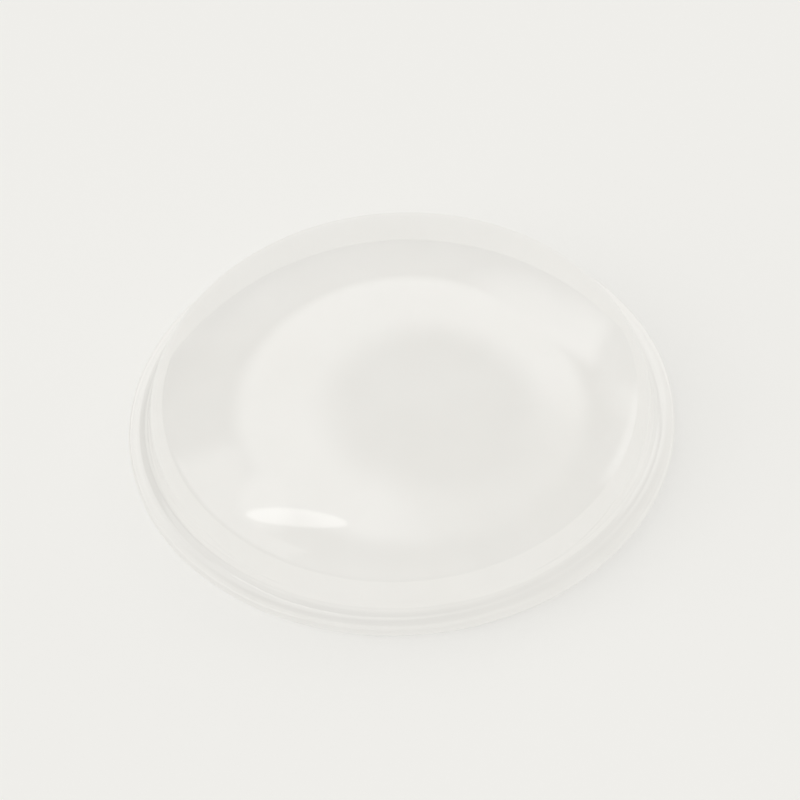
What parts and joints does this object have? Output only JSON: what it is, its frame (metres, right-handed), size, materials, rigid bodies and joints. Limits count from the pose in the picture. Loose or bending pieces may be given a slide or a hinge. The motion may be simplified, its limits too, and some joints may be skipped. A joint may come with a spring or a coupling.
{
  "type": "adhesive bumper foot",
  "caption": "Clear round domed bumper foot with a thin skirt and a self-adhesive underside, stuck on to cushion a cabinet door, a drawer or a small object's base.",
  "frame": {"origin": "centre of the adhesive face on the underside", "axes": "+Z along the foot's axis of revolution, from the adhesive face to the crown of the dome; X and Y are any two directions across it"},
  "size_m": [0.0106, 0.0106, 0.003],
  "materials": {
    "bumper_body": "polished",
    "adhesive_film": "satin"
  },
  "bodies": {
    "root": {"bumper_body": "bumper_body", "adhesive_film": "adhesive_film"}
  },
  "joints": []
}
